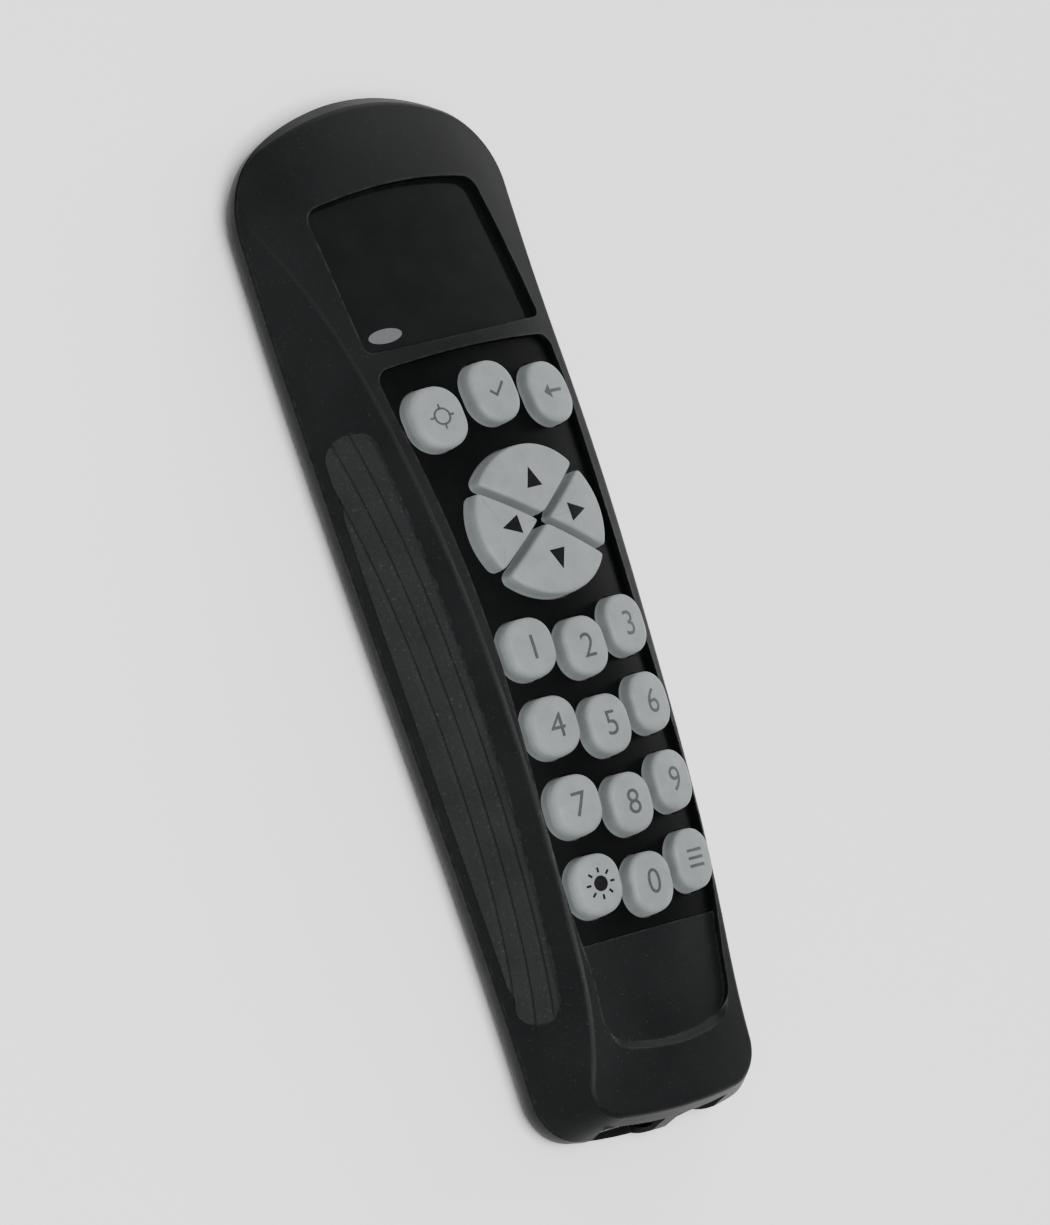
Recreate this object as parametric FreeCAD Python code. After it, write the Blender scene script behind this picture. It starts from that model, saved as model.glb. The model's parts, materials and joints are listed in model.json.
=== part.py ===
import FreeCAD, Part
import functools
import math
import os

# Hand controller of a motorised telescope, lying on its back, in millimetres.
# X runs across the keys, Y from the cord end to the head, Z up through the key face.
# The dimensions are taken from the datum of the key field. save() then moves every node along Y, so
# that the origin is the middle of the outer box, on the plane of the flat back.

V = FreeCAD.Vector

# ---- driving dimensions -------------------------------------------------------------------

HEAD_TIP = 95.0           # the case is 187 mm long
FOOT_TIP = -92.0
HEAD_HALF = 30.0          # half widths of the widest outline, which is the parting line
WAIST_HALF = 27.0
FOOT_HALF = 24.6
WAIST_Y = -14.0
SPLIT_Z = 7.5             # height of the parting line between rear and front shell
TOP_Z = 30.0              # height where the sloped sides are drawn to, above the face
WALL = 2.2                # moulded wall
REAR_ROUND = 7.0          # how far the rear shell rounds in towards the flat back

# side view of the key face's middle: it is highest at the number keys and falls to both ends
ARCH_POINTS = [(-102.0, 12.6), (-78.0, 20.5), (-59.0, 23.9), (-38.0, 25.9), (-14.0, 26.6),
               (14.0, 25.9), (36.0, 23.7), (60.0, 19.5), (78.0, 15.3), (94.0, 10.6), (103.0, 7.4)]
CROWN_RADIUS = 65.0       # the face also falls to both sides, with this radius at its middle
CROWN_REACH = 40.0        # half width that the face's surface is drawn to

RIM_ROUND = 1.3           # rounding of the rim round the face
PARTING_BEVEL = 0.35      # the bevels that make the parting line's groove

# key face: the long sunk field round the keys and the display's window
FIELD_TOP = 46.6
FIELD_FOOT = -77.6
FIELD_DEPTH = 1.2
LIP_RUN = 2.2             # the smile-shaped lip at the field's foot is a slope of this run and rise
LIP_RISE = 1.7
LIP_STEP = 0.05           # the slope begins this much over the field's floor
PLATE_FOOT = -58.8        # where the black key plate ends and the plain floor begins
PLATE_LIP = 1.3           # how far the plate's flange reaches under the shell
PLATE_FLANGE = 1.0
WINDOW_FOOT = 48.9
WINDOW_TOP = 78.2
WINDOW_HALF = 19.2
WINDOW_DEPTH = 1.5
WINDOW_THICK = 1.9        # with its flange
WINDOW_SEAT = 2.4         # depth of the seat that the flange lies against

# keys
KEY_PROUD = 2.2           # height of the key tops over the face
KEY_GAP = 0.25            # free gap between a key and its opening
KEY_FLANGE = 0.45         # how far the flange under the plate stands out from the key
KEY_FLANGE_THICK = 0.8
KEY_FOOT_RADIUS = 2.9     # the foot that presses on the board
KEY_STOP = 0.1            # gap left under the foot when the key is pressed
KEY_TRAVEL = 1.2
KEY_ROUND = 0.9
NUMBER_KEY = (9.4, 10.8, 4.2)      # width, height and corner radius
TOP_KEY = (9.9, 11.6, 4.6)
NUMBER_PITCH_X = 10.9
NUMBER_PITCH_Y = 14.05
NUMBER_FIRST_Y = -9.2     # centre key of the first number row
NUMBER_SMILE = 2.0        # outer keys of a row stand this much nearer the head
TOP_PITCH_X = 12.6
TOP_KEY_Y = 37.6
TOP_ARCH = 2.2            # outer keys of the top row stand this much nearer the foot
PAD_Y = 13.9
PAD_RADIUS = 13.7
PAD_CROSS = 35.0          # degrees between the dividing cross and the X axis
PAD_SPLIT = 1.2

# boards
BOARD_TOP = 14.2
BOARD_THICK = 1.6
MAT_THICK = 0.55
PLAY = 0.05               # gap between parts that only lie against each other

DATUM_SHIFT = -(HEAD_TIP + FOOT_TIP) / 2     # from the datum to the middle of the outer box

OUT = "parts"
os.makedirs(OUT, exist_ok=True)


# ---- small helpers ------------------------------------------------------------------------

def save(name, shape):
    """Write one named node, after checking that its solids are sound."""
    solids = shape.Solids
    if not solids or not shape.isValid():
        raise RuntimeError(name + " is not a sound solid")
    body = solids[0].copy() if len(solids) == 1 else Part.makeCompound(solids)
    body.translate(V(0, DATUM_SHIFT, 0))
    body.exportStep(OUT + "/" + name + ".step")
    print(name, len(solids), "solid(s)", round(sum(s.Volume for s in solids), 1), "mm3")


def mirrored(point):
    return V(-point.x, point.y, point.z)


def arc(first, middle, last):
    return Part.Arc(first, middle, last).toShape()


def spline(points, start, end):
    curve = Part.BSplineCurve()
    curve.interpolate(Points=points, InitialTangent=start, FinalTangent=end)
    return curve.toShape()


def box(x0, x1, y0, y1, z0, z1):
    return Part.makeBox(x1 - x0, y1 - y0, z1 - z0, V(x0, y0, z0))


def rod(x, y, z0, z1, radius):
    return Part.makeCylinder(radius, z1 - z0, V(x, y, z0))


def prism(wire, height):
    return Part.Face(wire).extrude(V(0, 0, height))


def end_points(way, half, tip_y, corner, crown, z):
    """Start, middle and end of the corner arc that leads from a side to an end's crown arc.

    way is 1 at the head and -1 at the foot."""
    crown_y = tip_y - way * crown
    corner_x = half - corner
    rise = math.sqrt((crown - corner) ** 2 - corner_x ** 2)
    corner_y = crown_y + way * rise
    turn = math.atan2(rise, corner_x)
    start = V(half, corner_y, z)
    middle = V(corner_x + corner * math.cos(turn / 2), corner_y + way * corner * math.sin(turn / 2), z)
    touch = V(crown * math.cos(turn), crown_y + way * crown * math.sin(turn), z)
    return start, middle, touch


def outline(z, head, foot, sides):
    """Closed outline, even about X = 0. head and foot are half width, tip, corner and crown radius."""
    head_start, head_middle, head_touch = end_points(1, *head, z)
    foot_start, foot_middle, foot_touch = end_points(-1, *foot, z)
    right = [foot_start] + [V(x, y, z) for x, y in sides] + [head_start]
    left = [mirrored(point) for point in reversed(right)]
    return Part.Wire([
        spline(right, V(0, 1, 0), V(0, 1, 0)),
        arc(head_start, head_middle, head_touch),
        arc(head_touch, V(0, head[1], z), mirrored(head_touch)),
        arc(mirrored(head_touch), mirrored(head_middle), mirrored(head_start)),
        spline(left, V(0, -1, 0), V(0, -1, 0)),
        arc(mirrored(foot_start), mirrored(foot_middle), mirrored(foot_touch)),
        arc(mirrored(foot_touch), V(0, foot[1], z), foot_touch),
        arc(foot_touch, foot_middle, foot_start)])


# ---- the case's outer and inner forms -----------------------------------------------------

def wide_outline(z, inset):
    """The widest outline, drawn in by an inset. The cord end stays nearly upright."""
    head = (HEAD_HALF - inset, HEAD_TIP - inset, 17.0 - 0.6 * inset, 45.0 - inset)
    foot = (FOOT_HALF - inset, FOOT_TIP + 0.35 * inset, 9.0 - 0.6 * inset, 90.0 - inset)
    return outline(z, head, foot, [(WAIST_HALF - inset, WAIST_Y)])


def front_outline(z, inset):
    """The outline that the sloped sides run up to."""
    head = (12.0 - inset, 82.0 - inset, 8.0 - inset, 30.0 - inset)
    foot = (9.2 - inset, -86.3 + inset, 4.6 - 0.8 * inset, 60.0 - inset)
    sides = [(11.9 - inset, -59.0), (14.6 - inset, -14.0), (14.6 - inset, 36.0)]
    return outline(z, head, foot, sides)


def rear_form(wall):
    """Solid of the rear half, rounded like a quarter ellipse, thinner by a wall all round."""
    top = SPLIT_Z - PARTING_BEVEL
    wires = []
    for step in range(6):
        angle = math.radians(90.0 * step / 5)
        z = wall + (top - wall) * (1 - math.cos(angle))
        wires.append(wide_outline(z, 1.1 * wall + REAR_ROUND * (1 - math.sin(angle))))
    inset = 1.1 * wall
    bevel = [wide_outline(top, inset), wide_outline(SPLIT_Z, inset + PARTING_BEVEL)]
    return Part.makeLoft(wires, True, False).fuse(Part.makeLoft(bevel, True, True))


def arch_curve():
    curve = Part.BSplineCurve()
    curve.interpolate(Points=[V(0, y, z) for y, z in ARCH_POINTS])
    return curve


ARCH = arch_curve()


def crown(x):
    """How much lower the face is beside its middle."""
    return x ** 2 / (2 * CROWN_RADIUS)


def face_sheet():
    """The face's surface: the arch along Y, carried along a parabola across X."""
    drop = crown(CROWN_REACH)
    across = [V(-CROWN_REACH, 0, -drop), V(0, 0, drop), V(CROWN_REACH, 0, -drop)]
    poles = [[pole + side for pole in ARCH.getPoles()] for side in across]
    surface = Part.BSplineSurface()
    surface.buildFromPolesMultsKnots(poles, [3, 3], ARCH.getMultiplicities(), [0.0, 1.0], ARCH.getKnots(),
                                     False, False, 2, ARCH.Degree)
    return surface.toShape()


FACE_SHEET = face_sheet()
BELOW_BACK = 50.0          # reaches below the flat back from anywhere on the face
NEAR = 0.02                # a point this near to a surface lies on it


def arch_slab(low, high):
    """Everything between two copies of the face, shifted down or up; low None means to below the back."""
    sheet = FACE_SHEET.copy()
    sheet.translate(V(0, 0, high))
    height = BELOW_BACK if low is None else high - low
    return sheet.extrude(V(0, 0, -height))


def arch_z(y):
    """Height of the face's middle at one place along the length."""
    low = ARCH.FirstParameter
    high = ARCH.LastParameter
    for _ in range(40):
        middle = (low + high) / 2
        if ARCH.value(middle).y < y:
            low = middle
        else:
            high = middle
    return ARCH.value(low).z


def face_z(x, y):
    """Height of the face at any place."""
    return arch_z(y) - crown(x)


@functools.lru_cache(maxsize=None)
def front_form(wall):
    """Solid of the front half, with sloped sides under the arched face."""
    inset = 1.1 * wall
    wires = [wide_outline(SPLIT_Z, inset + PARTING_BEVEL), wide_outline(SPLIT_Z + PARTING_BEVEL, inset)]
    sides = Part.makeLoft(wires + [front_outline(TOP_Z, inset)], True, True)
    return sides.common(arch_slab(None, -wall))


def edges_at(form, level):
    """The edges of a form that lie on a copy of the face, shifted up or down to a level."""
    return [edge for edge in form.Edges
            if all(abs(vertex.Point.z - face_z(vertex.Point.x, vertex.Point.y) - level) < NEAR
                   for vertex in edge.Vertexes)]


def rounded_rim(form):
    """Round the edge where the arched face meets the sloped sides."""
    return form.makeFillet(RIM_ROUND, edges_at(form, 0))


# ---- outlines on the key face -------------------------------------------------------------

def field_outline(z, grow, reach=0.0):
    """The long sunk field round the keys, down to the smile-shaped lip, or past it by a reach."""
    head = (19.5 + grow, FIELD_TOP + grow, 2.5 + grow, 300.0)
    foot = (14.4 + grow, FIELD_FOOT - grow - reach, 5.5 + grow, 38.0 + grow)
    sides = [(15.9 + grow, -55.0), (16.2 + grow, -12.0), (17.0 + grow, 13.0), (18.7 + grow, 33.0)]
    return outline(z, head, foot, sides)


def rounded_box_wire(x, y, z, width, height, corner):
    """Rounded rectangle about a centre."""
    sides = []
    half_x = width / 2 - corner
    half_y = height / 2 - corner
    diagonal = corner * math.sqrt(0.5)
    corners = [(1, 1), (-1, 1), (-1, -1), (1, -1)]
    arcs = []
    for way_x, way_y in corners:
        beside = V(x + way_x * (half_x + corner), y + way_y * half_y, z)
        above = V(x + way_x * half_x, y + way_y * (half_y + corner), z)
        middle = V(x + way_x * (half_x + diagonal), y + way_y * (half_y + diagonal), z)
        arcs.append((beside, middle, above) if way_x == way_y else (above, middle, beside))
    for index, (first, middle, last) in enumerate(arcs):
        sides.append(arc(first, middle, last))
        following = arcs[(index + 1) % 4][0]
        if last.distanceToPoint(following) > 1e-6:
            sides.append(Part.makeLine(last, following))
    return Part.Wire(sides)


# ---- the window, which follows the face, and the flat display, which leans back under it ----

def window_outline(z, grow):
    """The window's opening: nearly square corners at the foot, a shallow crown at the head."""
    head = (WINDOW_HALF + grow, WINDOW_TOP + grow, 3.0 + grow, 110.0)
    foot = (WINDOW_HALF + 0.4 + grow, WINDOW_FOOT - grow, 1.5 + grow, 400.0)
    return outline(z, head, foot, [(WINDOW_HALF + 0.3 + grow, (WINDOW_FOOT + WINDOW_TOP) / 2)])


def window_layer(grow, low, high):
    """Layer of the window's outline between two depths under the face."""
    return prism(window_outline(0, grow), 40).common(arch_slab(low, high))


DISPLAY_Y = 63.5
DISPLAY_Z = arch_z(DISPLAY_Y)
DISPLAY_LEAN = math.degrees(math.atan2(arch_z(WINDOW_TOP) - arch_z(WINDOW_FOOT), WINDOW_TOP - WINDOW_FOOT))


def lean(shape):
    """Put a shape that is drawn about the display's centre, level with the face, in its place."""
    placed = shape.copy()
    placed.rotate(V(0, 0, 0), V(1, 0, 0), DISPLAY_LEAN)
    placed.translate(V(0, DISPLAY_Y, DISPLAY_Z))
    return placed


def leaning_space(low, high):
    """All the room between two levels of the leaning display."""
    return lean(box(-40, 40, -40, 40, low, high))


# ---- key outlines -------------------------------------------------------------------------

def pad_key_wire(middle_angle, spread, grow):
    """One fan of the direction pad: a sector of the disc with its three corners rounded."""
    half_split = PAD_SPLIT / 2 - grow
    outer = PAD_RADIUS + grow
    half = math.radians(spread / 2)
    tip = V(half_split / math.sin(half), 0, 0)
    reach = math.sqrt(outer ** 2 - half_split ** 2)
    side = V(reach * math.cos(half) + half_split * math.sin(half),
             reach * math.sin(half) - half_split * math.cos(half), 0)
    edges = [Part.makeLine(tip, mirrored_y(side)),
             arc(mirrored_y(side), V(outer, 0, 0), side),
             Part.makeLine(side, tip)]
    wire = Part.Wire(edges)
    wire.rotate(V(0, 0, 0), V(0, 0, 1), middle_angle)
    wire.translate(V(0, PAD_Y, 0))
    return wire


def mirrored_y(point):
    return V(point.x, -point.y, point.z)


def rounded_upright(solid, radius):
    """Round the upright corners of a prism."""
    upright = [edge for edge in solid.Edges if abs(edge.BoundBox.ZLength) > 1
               and edge.BoundBox.XLength < 1e-6 and edge.BoundBox.YLength < 1e-6]
    return solid.makeFillet(radius, upright)


def key_prism(kind, x, y, grow):
    """Upright prism of a key's outline, grown for its flange or its opening."""
    if kind == "pad":
        angle, spread = x, y
        plain = prism(pad_key_wire(angle, spread, grow), 40)
        return rounded_upright(plain, 1.4 + max(grow, -0.6))
    width, height, corner = NUMBER_KEY if kind == "number" else TOP_KEY
    return prism(rounded_box_wire(x, y, 0, width + 2 * grow, height + 2 * grow, corner + grow), 40)


def key_places():
    """Name, kind and place of every key. A pad key is placed by its angle and its spread."""
    places = [("key_top_left", "top", -TOP_PITCH_X, TOP_KEY_Y - TOP_ARCH),
              ("key_top_centre", "top", 0.0, TOP_KEY_Y),
              ("key_top_right", "top", TOP_PITCH_X, TOP_KEY_Y - TOP_ARCH)]
    tall = 180 - 2 * PAD_CROSS
    wide = 2 * PAD_CROSS
    places += [("key_up", "pad", 90, tall), ("key_left", "pad", 180, wide),
               ("key_right", "pad", 0, wide), ("key_down", "pad", 270, tall)]
    names = ["key_1", "key_2", "key_3", "key_4", "key_5", "key_6", "key_7", "key_8", "key_9",
             "key_light", "key_0", "key_list"]
    for index, name in enumerate(names):
        row, column = divmod(index, 3)
        y = NUMBER_FIRST_Y - NUMBER_PITCH_Y * row + NUMBER_SMILE * abs(column - 1)
        places.append((name, "number", NUMBER_PITCH_X * (column - 1), y))
    return places


def key_foot_centre(kind, x, y):
    """Where a key's carbon pill stands over its contact."""
    if kind != "pad":
        return x, y
    angle = math.radians(x)
    return 8.6 * math.cos(angle), PAD_Y + 8.0 * math.sin(angle)


# ---- screws, bosses and sockets: places ----------------------------------------------------

CASE_SCREWS = [(-18.5, 80.0), (18.5, 80.0), (-20.2, 4.0), (20.2, 4.0), (-17.2, -68.0), (17.2, -68.0)]
CASE_HEAD_Z = 0.6          # the heads are sunk this far in the back
CASE_SEAT_Z = 2.8
CASE_TIP_Z = 9.6
CASE_BOSS_Z = 6.0          # where the rear bosses end and the front bosses begin
BOARD_SCREWS = [(-10.4, -65.5), (10.4, -65.5)]
BOARD_POSTS = [(-15.0, -40.0), (15.0, -40.0), (-15.0, 33.0), (15.0, 33.0)]
DISPLAY_POSTS = [(-14.0, 56.0), (14.0, 56.0)]
POST_RADIUS = 1.6
SOCKET_FACE_Y = FOOT_TIP + WALL
SOCKET_BACK_Y = SOCKET_FACE_Y + 15.3
SOCKET_FLOOR_Z = 2.3
SOCKET_ROOF_Z = BOARD_TOP - BOARD_THICK - PLAY
CORD_SOCKET = (-8.2, 13.2, 9.8, 6)       # centre, body width, mouth width, number of contacts
DATA_SOCKET = (7.4, 11.2, 7.8, 4)
MOUTH_Z = (3.7, 10.6)
MOUTH_DEPTH = 12.5


def socket_body(centre, width, mouth, contacts):
    """Moulded modular socket: a block with a plug's mouth and the slot for the plug's catch."""
    block = box(centre - width / 2, centre + width / 2, SOCKET_FACE_Y, SOCKET_BACK_Y,
                SOCKET_FLOOR_Z, SOCKET_ROOF_Z)
    low, high = MOUTH_Z
    block = block.cut(box(centre - mouth / 2, centre + mouth / 2, SOCKET_FACE_Y - 1,
                          SOCKET_FACE_Y + MOUTH_DEPTH, low, high))
    block = block.cut(box(centre - 3.1, centre + 3.1, SOCKET_FACE_Y - 1, SOCKET_FACE_Y + 9.0,
                          low - 0.9, low + 0.1))
    for x in contact_columns(centre, contacts):
        block = block.cut(box(x - 0.3, x + 0.3, SOCKET_FACE_Y + 1.5, SOCKET_FACE_Y + MOUTH_DEPTH,
                              high - 0.1, high + 1.2))
    return block


def contact_columns(centre, contacts):
    return [centre + 1.02 * (index - (contacts - 1) / 2) for index in range(contacts)]


def socket_contacts(centre, contacts):
    """Sprung wires that lean down into the mouth, one in each slot."""
    low, high = MOUTH_Z
    wires = []
    for x in contact_columns(centre, contacts):
        y0 = SOCKET_FACE_Y + 2.0
        y1 = SOCKET_FACE_Y + MOUTH_DEPTH - 1.0
        points = [V(x - 0.22, y0, high + 1.05), V(x - 0.22, y0, high + 0.6), V(x - 0.22, y1, high - 1.3),
                  V(x - 0.22, y1 + 0.5, high - 0.9), V(x - 0.22, y0 + 1.0, high + 1.05)]
        face = Part.Face(Part.makePolygon(points + points[:1]))
        wires.append(face.extrude(V(0.44, 0, 0)))
    return Part.makeCompound(wires)


def socket_holes(grow):
    """The room that both sockets take in the end wall."""
    rooms = []
    for centre, width, _, _ in (CORD_SOCKET, DATA_SOCKET):
        rooms.append(box(centre - width / 2 - grow, centre + width / 2 + grow, FOOT_TIP - 2,
                         SOCKET_BACK_Y + 1, SOCKET_FLOOR_Z - grow, SOCKET_ROOF_Z + grow))
    return rooms[0].fuse(rooms[1])


# ---- shells -------------------------------------------------------------------------------

GRIP_DEPTH = 1.2
GRIP_PROUD = 0.4
GRIP_GAP = 0.06
GRIP_DROP = 6.4                # from the face's middle down to a grip's upper edge
GRIP_GROOVES = (4.4, 6.7, 9.0) # depths of the grooves' middles under the face
GROOVE_HALF = 0.35
LABEL = (38.0, 62.0, 0.4)      # width, height and depth of the sunk place for the rear label
LABEL_Y = 2.0


def grip_region(grow):
    """Side view of a grip: flat along the parting line, arched under the rim, round at both ends."""
    low = SPLIT_Z + 2.2 - grow
    foot_y = -66.0 - grow
    head_y = 33.0 + grow
    foot_z = arch_z(foot_y) - GRIP_DROP + grow
    head_z = arch_z(head_y) - GRIP_DROP + grow
    top = [V(0, y, arch_z(y) - GRIP_DROP + grow) for y in (-52.0, -33.0, -14.0, 10.0)]
    curve = Part.BSplineCurve()
    curve.interpolate(Points=[V(0, foot_y, foot_z)] + top + [V(0, head_y, head_z)])
    foot_arc = arc(V(0, foot_y, low), V(0, foot_y - 3.4, (low + foot_z) / 2), V(0, foot_y, foot_z))
    head_arc = arc(V(0, head_y, head_z), V(0, head_y + 4.2, (low + head_z) / 2), V(0, head_y, low))
    base = Part.makeLine(V(0, head_y, low), V(0, foot_y, low))
    return Part.Face(Part.Wire([foot_arc, curve.toShape(), head_arc, base])).extrude(V(40, 0, 0))


def grip_layer(depth, proud, grow):
    """Layer of the right side wall between a depth and a height over it."""
    outer = front_form(-proud / 1.1)
    inner = front_form(depth / 1.1)
    return outer.cut(inner).common(grip_region(grow))


def side_grip():
    """Right rubber grip with grooves that run along its length, parallel to the rim."""
    grip = grip_layer(GRIP_DEPTH - GRIP_GAP, GRIP_PROUD, -GRIP_GAP)
    skin = grip_layer(0.1, GRIP_PROUD + 0.5, 2.0)
    for drop in GRIP_GROOVES:
        groove = skin.common(arch_slab(-drop - GROOVE_HALF, -drop + GROOVE_HALF))
        grip = grip.cut(groove)
    return grip


def mirror_x(shape):
    return shape.mirror(V(0, 0, 0), V(1, 0, 0))


def front_shell():
    outer = rounded_rim(front_form(0))
    shell = outer.cut(front_form(WALL))
    inside = front_form(WALL - 0.3)

    # posts for the case screws, and for the board's two screws
    for x, y in CASE_SCREWS:
        post = rod(x, y, CASE_BOSS_Z + PLAY, 24, 3.2)
        shell = shell.fuse(post.common(inside.fuse(box(-40, 40, -93, 93, 0, SPLIT_Z + 1))))
    for x, y in BOARD_SCREWS:
        post = rod(x, y, BOARD_TOP + PLAY, 28, 2.6)
        shell = shell.fuse(post.common(inside))

    # the window's opening, with a seat under its edge, and the plain floor at the field's foot
    shell = shell.fuse(window_layer(3.2, -3.4, -0.4).common(front_form(0.4)))
    shell = shell.fuse(field_floor().common(front_form(0.4)))
    shell = shell.cut(window_layer(0, -16, 20)).cut(window_layer(1.9, -16, -WINDOW_SEAT))

    # the sunk field, and the opening that the key plate fills
    shell = shell.cut(prism(field_outline(0, 0), 40).common(arch_slab(-FIELD_DEPTH, 8))).cut(lip_slope())
    shell = shell.cut(plate_prism(0).common(arch_slab(-12, 8)))
    shell = shell.cut(plate_prism(PLATE_LIP + 0.15).common(arch_slab(-9, -WALL + PLAY)))

    # grips' beds, sockets and the screws' pilot holes
    bed = grip_layer(GRIP_DEPTH, 3.0, 0)
    shell = shell.cut(bed).cut(mirror_x(bed)).cut(socket_holes(0.15))
    for x, y in CASE_SCREWS:
        shell = shell.cut(rod(x, y, 0, CASE_TIP_Z + 0.4, 1.5))
    for x, y in BOARD_SCREWS:
        shell = shell.cut(rod(x, y, BOARD_TOP - 1, BOARD_TOP + 5.4, 1.05))
    return shell.removeSplitter()


def field_floor():
    """Thicker wall between the key plate and the smile-shaped lip, where the field's plain floor is."""
    slab = prism(field_outline(0, 1.2), 40).common(arch_slab(-FIELD_DEPTH - WALL, -FIELD_DEPTH / 2))
    return slab.common(box(-30, 30, FIELD_FOOT - 3, PLATE_FOOT, 0, 40))


def lip_slope():
    """What is cut away beyond the field's foot for the slope from its floor up to the chin."""
    level = LIP_STEP - FIELD_DEPTH
    head_end = FIELD_FOOT + 9.0
    block = prism(field_outline(0, 0, LIP_RUN), 40).common(arch_slab(level, 1.0))
    block = block.common(box(-30, 30, FIELD_FOOT - 9, head_end, 0, 40))
    under = [edge for edge in edges_at(block, level) if edge.BoundBox.YMin < head_end - NEAR]
    return block.makeChamfer(LIP_RISE, LIP_RUN, under)


def plate_prism(grow):
    """Upright prism of the black key plate, which ends in a straight line under the last keys."""
    return prism(field_outline(0, grow), 40).common(box(-30, 30, PLATE_FOOT - grow, 70, 0, 40))


def rear_shell():
    shell = rear_form(0).cut(rear_form(WALL))
    inside = rear_form(WALL - 0.3)
    for x, y in CASE_SCREWS:
        shell = shell.fuse(rod(x, y, 0.3, CASE_BOSS_Z, 4.3).common(rear_form(0.15)))
    for x, y in BOARD_POSTS:
        shell = shell.fuse(rod(x, y, WALL - 0.5, BOARD_TOP - BOARD_THICK - PLAY, POST_RADIUS))
    for x, y in DISPLAY_POSTS:
        post = rod(x, y, WALL - 0.5, 14.0, POST_RADIUS)
        shell = shell.fuse(post.cut(leaning_space(DISPLAY_BASE - 0.1, 30)))
    shell = shell.cut(socket_holes(0.15))
    for x, y in CASE_SCREWS:
        shell = shell.cut(rod(x, y, -1, CASE_SEAT_Z, 3.2)).cut(rod(x, y, 0, 8, 1.65))
    width, height, depth = LABEL
    shell = shell.cut(prism(rounded_box_wire(0, LABEL_Y, -1, width, height, 3.0), 1 + depth))
    return shell.removeSplitter()


# ---- key plate, mat and keys ---------------------------------------------------------------

def key_plate():
    """Black plate that fills the field, with a flange under the shell and one hole for each key."""
    top = plate_prism(-0.1).common(arch_slab(-WALL - 0.6, -FIELD_DEPTH))
    flange = plate_prism(PLATE_LIP).common(arch_slab(-WALL - PLATE_FLANGE, -WALL - PLAY))
    flange = flange.common(front_form(WALL + 0.25)).cut(window_layer(2.1, -16, 0))
    plate = top.fuse(flange)
    for name, kind, x, y in key_places():
        plate = plate.cut(key_prism(kind, x, y, KEY_GAP))
    return plate.removeSplitter()


def key(kind, x, y):
    """Soft key: cap through the plate, flange under it, and a foot over its contact."""
    under = -WALL - PLATE_FLANGE - 0.15
    top = arch_slab(None, KEY_PROUD)
    cap = key_prism(kind, x, y, 0).common(top).common(arch_slab(under - KEY_FLANGE_THICK / 2, 8))
    cap = cap.makeFillet(KEY_ROUND, edges_at(cap, KEY_PROUD))
    flange = key_prism(kind, x, y, KEY_FLANGE).common(arch_slab(under - KEY_FLANGE_THICK, under))
    foot_x, foot_y = key_foot_centre(kind, x, y)
    foot = rod(foot_x, foot_y, BOARD_TOP + KEY_TRAVEL + KEY_STOP, face_z(foot_x, foot_y) + under + 0.5,
               KEY_FOOT_RADIUS)
    return cap.fuse(flange).fuse(foot).removeSplitter()


def key_mat():
    """Soft sheet on the board, with a hole under each key and round the key lights."""
    low = BOARD_TOP + PLAY
    sheet = prism(rounded_box_wire(0, -8.0, low, 33.0, 102.0, 3.0), MAT_THICK)
    for name, kind, x, y in key_places():
        foot_x, foot_y = key_foot_centre(kind, x, y)
        sheet = sheet.cut(rod(foot_x, foot_y, low - 1, low + 4, KEY_FOOT_RADIUS + 0.4))
    for x, y in LIGHT_PLACES:
        sheet = sheet.cut(box(x - 1.3, x + 1.3, y - 1.0, y + 1.0, low - 1, low + 4))
    return sheet


# ---- boards and what is on them -------------------------------------------------------------

def light_places():
    """Between the rows of keys, two to a row."""
    places = []
    for row in range(5):
        y = NUMBER_FIRST_Y + NUMBER_PITCH_Y * (0.5 - row) + 1.0
        places += [(-NUMBER_PITCH_X / 2, y), (NUMBER_PITCH_X / 2, y)]
    return places + [(-6.25, PAD_Y + 15.3), (6.25, PAD_Y + 15.3)]


LIGHT_PLACES = light_places()


def main_board():
    base = BOARD_TOP - BOARD_THICK
    half = [(19.2, 44.0), (19.2, -45.0), (16.2, -72.0), (15.0, -80.5), (12.0, -85.0)]
    points = [V(x, y, base) for x, y in half] + [V(-x, y, base) for x, y in reversed(half)]
    board = prism(Part.makePolygon(points + points[:1]), BOARD_THICK)
    for x, y in CASE_SCREWS:
        board = board.cut(rod(x, y, 5, 20, 3.6))
    for x, y in BOARD_SCREWS:
        board = board.cut(rod(x, y, 5, 20, 1.2))
    return board


def chip(x, y, width, height, thick, legs):
    """Chip under the board: a block with a row of legs at each side, as one moulded piece."""
    top = BOARD_TOP - BOARD_THICK - PLAY
    body = box(x - width / 2, x + width / 2, y - height / 2, y + height / 2, top - thick, top - 0.15)
    for index in range(legs):
        leg_y = y + (index - (legs - 1) / 2) * (height - 1.2) / (legs - 1)
        leg = box(x - width / 2 - 1.0, x + width / 2 + 1.0, leg_y - 0.18, leg_y + 0.18, top - 0.9, top)
        body = body.fuse(leg)
    return body


def key_lights():
    lights = [box(x - 0.8, x + 0.8, y - 0.45, y + 0.45, BOARD_TOP + 0.02, BOARD_TOP + 0.7)
              for x, y in LIGHT_PLACES]
    return Part.makeCompound(lights)


def capacitors():
    top = BOARD_TOP - BOARD_THICK - PLAY
    cans = [rod(x, y, top - 5.4, top, 2.5) for x, y in [(12.5, -58.0), (-13.0, -30.0)]]
    return Part.makeCompound(cans)


def crystal():
    top = BOARD_TOP - BOARD_THICK - PLAY
    return prism(rounded_box_wire(-12.0, 12.0, top - 3.5, 4.6, 11.0, 2.2), 3.5)


# ---- display -------------------------------------------------------------------------------

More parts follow.
